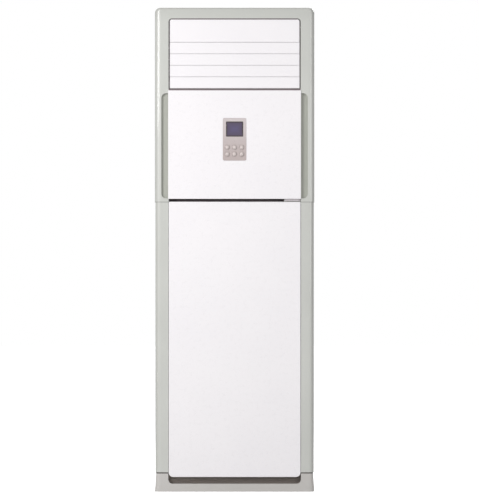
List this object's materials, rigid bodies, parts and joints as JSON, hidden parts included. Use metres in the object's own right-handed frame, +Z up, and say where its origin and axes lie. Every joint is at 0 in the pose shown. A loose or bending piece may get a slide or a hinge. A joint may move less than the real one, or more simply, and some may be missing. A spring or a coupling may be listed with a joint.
{
  "type": "floor standing air conditioner",
  "caption": "Tall cabinet air conditioner: louvred outlet at the top, white middle panel with control panel and finger scoops, hinged lower panel over fan and filter, notched plinth.",
  "frame": {"origin": "on the floor at the middle of the footprint", "axes": "+Z up, -Y out of the front, +X to the right seen from the front"},
  "size_m": [0.61, 0.39, 1.85],
  "materials": {
    "frame_grey": "fine satin, light grey",
    "plinth_grey": "fine satin, grey",
    "panel_white": "smooth semi-gloss white",
    "louvre_white": "satin white",
    "bezel_grey": "satin warm grey",
    "button_grey": "satin warm grey",
    "window_dark": "dark tinted display window",
    "receiver_grey": "tinted receiver window",
    "board_green": "coated circuit board",
    "zinc_steel": "galvanised sheet",
    "painted_steel": "powder coat, light grey",
    "duct_white": "foam-lined duct and moulded guides",
    "mechanism_grey": "moulded linkage plastic",
    "stepper_steel": "plated stepper motor can",
    "fin_aluminium": "coated fin stock",
    "copper": "copper tube and brass flare nuts",
    "fan_plastic": "dark glass-filled plastic",
    "motor_black": "black painted motor shell",
    "filter_blue": "moulded filter frame",
    "rubber_black": "black rubber",
    "hose_grey": "ribbed drain hose"
  },
  "bodies": {
    "cabinet": {"plinth": "plinth_grey", "base_pan": "zinc_steel", "side_panel_right": "painted_steel", "side_panel_left": "painted_steel", "rear_panel": "painted_steel", "top_cover": "painted_steel", "upper_frame": "frame_grey", "lower_frame": "frame_grey", "middle_panel": "panel_white", "receiver_window": "receiver_grey", "control_bezel": "bezel_grey", "lcd_window": "window_dark", "control_board": "board_green", "outlet_fascia": "louvre_white", "outlet_duct": "duct_white", "louvre_motor": "stepper_steel", "vane_motor": "stepper_steel", "scroll_housing": "zinc_steel", "inlet_ring": "zinc_steel", "fan_motor": "motor_black", "motor_bracket": "zinc_steel", "filter_guide": "duct_white", "partition_shelf": "zinc_steel", "chamber_front": "zinc_steel", "evaporator": "fin_aluminium", "evaporator_end_right": "copper", "evaporator_end_left": "copper", "drain_pan": "duct_white", "drain_hose": "hose_grey", "gas_pipe": "copper", "liquid_pipe": "copper", "electrical_box": "zinc_steel", "electrical_box_cover": "zinc_steel", "pipe_grommet": "rubber_black", "cable_gland": "rubber_black"},
    "louvre_1": {"louvre_1": "louvre_white"},
    "louvre_2": {"louvre_2": "louvre_white"},
    "louvre_3": {"louvre_3": "louvre_white"},
    "louvre_4": {"louvre_4": "louvre_white"},
    "louvre_crank": {"louvre_crank": "mechanism_grey"},
    "louvre_link": {"louvre_link": "mechanism_grey"},
    "vane_1": {"vane_1": "louvre_white"},
    "vane_2": {"vane_2": "louvre_white"},
    "vane_3": {"vane_3": "louvre_white"},
    "vane_4": {"vane_4": "louvre_white"},
    "vane_5": {"vane_5": "louvre_white"},
    "vane_6": {"vane_6": "louvre_white"},
    "vane_7": {"vane_7": "louvre_white"},
    "vane_link": {"vane_link": "mechanism_grey"},
    "button_1": {"button_1": "button_grey"},
    "button_2": {"button_2": "button_grey"},
    "button_3": {"button_3": "button_grey"},
    "button_4": {"button_4": "button_grey"},
    "button_5": {"button_5": "button_grey"},
    "button_6": {"button_6": "button_grey"},
    "fan_wheel": {"fan_wheel": "fan_plastic"},
    "lower_panel": {"lower_panel": "panel_white"},
    "filter": {"filter": "filter_blue"}
  },
  "joints": [
    {"name": "louvre_1_swing", "type": "hinge", "parent": "cabinet", "child": "louvre_1", "pos_m": [0, -0.1815, 1.696], "axis": [-1, 0, 0], "range_deg": [0, 75]},
    {"name": "louvre_2_swing", "type": "hinge", "parent": "cabinet", "child": "louvre_2", "pos_m": [0, -0.1815, 1.652], "axis": [-1, 0, 0], "range_deg": [0, 75]},
    {"name": "louvre_3_swing", "type": "hinge", "parent": "cabinet", "child": "louvre_3", "pos_m": [0, -0.1815, 1.608], "axis": [-1, 0, 0], "range_deg": [0, 75]},
    {"name": "louvre_4_swing", "type": "hinge", "parent": "cabinet", "child": "louvre_4", "pos_m": [0, -0.1815, 1.564], "axis": [-1, 0, 0], "range_deg": [0, 75]},
    {"name": "louvre_crank_turn", "type": "hinge", "parent": "cabinet", "child": "louvre_crank", "pos_m": [-0.2585, -0.1495, 1.608], "axis": [-1, 0, 0], "range_deg": [0, 75]},
    {"name": "louvre_link_pivot", "type": "hinge", "parent": "louvre_1", "child": "louvre_link", "pos_m": [-0.255, -0.1635, 1.696], "axis": [-1, 0, 0], "range_deg": [-75, 0]},
    {"name": "vane_4_swing", "type": "hinge", "parent": "cabinet", "child": "vane_4", "pos_m": [0, -0.12, 1.55], "axis": [0, 0, 1], "range_deg": [-35, 35]},
    {"name": "vane_1_swing", "type": "hinge", "parent": "cabinet", "child": "vane_1", "pos_m": [-0.19856, -0.12, 1.55], "axis": [0, 0, 1], "range_deg": [-35, 35]},
    {"name": "vane_2_swing", "type": "hinge", "parent": "cabinet", "child": "vane_2", "pos_m": [-0.13237, -0.12, 1.55], "axis": [0, 0, 1], "range_deg": [-35, 35]},
    {"name": "vane_3_swing", "type": "hinge", "parent": "cabinet", "child": "vane_3", "pos_m": [-0.06619, -0.12, 1.55], "axis": [0, 0, 1], "range_deg": [-35, 35]},
    {"name": "vane_5_swing", "type": "hinge", "parent": "cabinet", "child": "vane_5", "pos_m": [0.06619, -0.12, 1.55], "axis": [0, 0, 1], "range_deg": [-35, 35]},
    {"name": "vane_6_swing", "type": "hinge", "parent": "cabinet", "child": "vane_6", "pos_m": [0.13237, -0.12, 1.55], "axis": [0, 0, 1], "range_deg": [-35, 35]},
    {"name": "vane_7_swing", "type": "hinge", "parent": "cabinet", "child": "vane_7", "pos_m": [0.19856, -0.12, 1.55], "axis": [0, 0, 1], "range_deg": [-35, 35]},
    {"name": "vane_link_pivot", "type": "hinge", "parent": "vane_4", "child": "vane_link", "pos_m": [0, -0.096, 1.55], "axis": [0, 0, 1], "range_deg": [-35, 35]},
    {"name": "button_1_press", "type": "slide", "parent": "cabinet", "child": "button_1", "axis": [0, 1, 0], "range_m": [0, 0.001], "stiffness_N_per_m": 300},
    {"name": "button_2_press", "type": "slide", "parent": "cabinet", "child": "button_2", "axis": [0, 1, 0], "range_m": [0, 0.001], "stiffness_N_per_m": 300},
    {"name": "button_3_press", "type": "slide", "parent": "cabinet", "child": "button_3", "axis": [0, 1, 0], "range_m": [0, 0.001], "stiffness_N_per_m": 300},
    {"name": "button_4_press", "type": "slide", "parent": "cabinet", "child": "button_4", "axis": [0, 1, 0], "range_m": [0, 0.001], "stiffness_N_per_m": 300},
    {"name": "button_5_press", "type": "slide", "parent": "cabinet", "child": "button_5", "axis": [0, 1, 0], "range_m": [0, 0.001], "stiffness_N_per_m": 300},
    {"name": "button_6_press", "type": "slide", "parent": "cabinet", "child": "button_6", "axis": [0, 1, 0], "range_m": [0, 0.001], "stiffness_N_per_m": 300},
    {"name": "fan_spin", "type": "hinge", "parent": "cabinet", "child": "fan_wheel", "pos_m": [-0.02, 0, 0.262], "axis": [0, 1, 0], "continuous": true},
    {"name": "lower_panel_swing", "type": "hinge", "parent": "cabinet", "child": "lower_panel", "pos_m": [0, -0.1805, 1.099], "axis": [-1, 0, 0], "range_deg": [0, 30]},
    {"name": "filter_lift", "type": "slide", "parent": "cabinet", "child": "filter", "axis": [0, 0, 1], "range_m": [0, 0.012]}
  ],
  "couplings": [
    {"joint": "louvre_2_swing", "follows": "louvre_1_swing", "ratio": 1},
    {"joint": "louvre_3_swing", "follows": "louvre_1_swing", "ratio": 1},
    {"joint": "louvre_4_swing", "follows": "louvre_1_swing", "ratio": 1},
    {"joint": "louvre_crank_turn", "follows": "louvre_1_swing", "ratio": 1},
    {"joint": "louvre_link_pivot", "follows": "louvre_1_swing", "ratio": -1},
    {"joint": "vane_1_swing", "follows": "vane_4_swing", "ratio": 1},
    {"joint": "vane_2_swing", "follows": "vane_4_swing", "ratio": 1},
    {"joint": "vane_3_swing", "follows": "vane_4_swing", "ratio": 1},
    {"joint": "vane_5_swing", "follows": "vane_4_swing", "ratio": 1},
    {"joint": "vane_6_swing", "follows": "vane_4_swing", "ratio": 1},
    {"joint": "vane_7_swing", "follows": "vane_4_swing", "ratio": 1},
    {"joint": "vane_link_pivot", "follows": "vane_4_swing", "ratio": -1}
  ]
}
